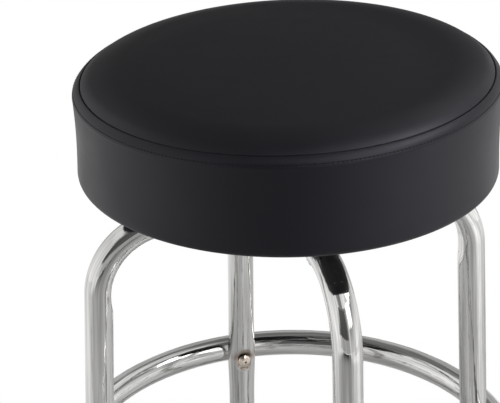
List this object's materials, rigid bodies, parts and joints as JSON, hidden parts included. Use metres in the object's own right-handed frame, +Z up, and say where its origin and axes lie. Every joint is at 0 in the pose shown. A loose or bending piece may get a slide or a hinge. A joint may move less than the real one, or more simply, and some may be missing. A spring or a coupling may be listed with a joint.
{
  "type": "guitar stool",
  "caption": "Backless round stool: padded vinyl seat that turns on a ball bearing swivel, bent chrome tube legs and a bolted chrome foot ring.",
  "frame": {"origin": "on the floor, under the seat's turning axis", "axes": "+Z up along the seat's turning axis, +X towards the right leg, -Y towards the front leg"},
  "size_m": [0.4281, 0.428, 0.61],
  "materials": {
    "black_vinyl": "satin",
    "foam": "matte",
    "plywood": "matte",
    "dust_cloth": "matte",
    "staple_wire": "satin",
    "zinc_plate": "satin",
    "black_paint": "satin",
    "ball_steel": "polished",
    "nylon": "satin",
    "chrome_tube": "polished",
    "nickel_plate": "polished",
    "black_plastic": "matte"
  },
  "bodies": {
    "frame": {"swivel_lower_plate": "black_paint", "centre_rivet": "zinc_plate", "thrust_washer": "zinc_plate", "leg_front": "chrome_tube", "leg_right": "chrome_tube", "leg_back": "chrome_tube", "leg_left": "chrome_tube", "end_plug_front": "black_plastic", "end_plug_right": "black_plastic", "end_plug_back": "black_plastic", "end_plug_left": "black_plastic", "leg_bolts": "zinc_plate", "saddle_washers": "zinc_plate", "leg_nuts": "zinc_plate", "foot_ring": "chrome_tube", "ring_bolts": "nickel_plate", "ring_insert_nuts": "zinc_plate", "foot_glide_front": "black_plastic", "foot_glide_right": "black_plastic", "foot_glide_back": "black_plastic", "foot_glide_left": "black_plastic"},
    "seat": {"seat_top_panel": "black_vinyl", "seat_side_band": "black_vinyl", "foam_cushion": "foam", "seat_board": "plywood", "dust_cover": "dust_cloth", "cover_staples": "staple_wire", "tee_nuts": "zinc_plate", "seat_bolts": "zinc_plate", "seat_lock_washers": "zinc_plate", "swivel_upper_plate": "black_paint"},
    "bearing": {"ball_cage": "nylon", "bearing_balls": "ball_steel"}
  },
  "joints": [
    {"name": "seat_swivel", "type": "hinge", "parent": "frame", "child": "seat", "pos_m": [0, 0, 0.4958], "axis": [0, 0, 1], "continuous": true},
    {"name": "bearing_roll", "type": "hinge", "parent": "frame", "child": "bearing", "pos_m": [0, 0, 0.4958], "axis": [0, 0, 1], "continuous": true}
  ],
  "couplings": [
    {"joint": "bearing_roll", "follows": "seat_swivel", "ratio": 0.5}
  ]
}
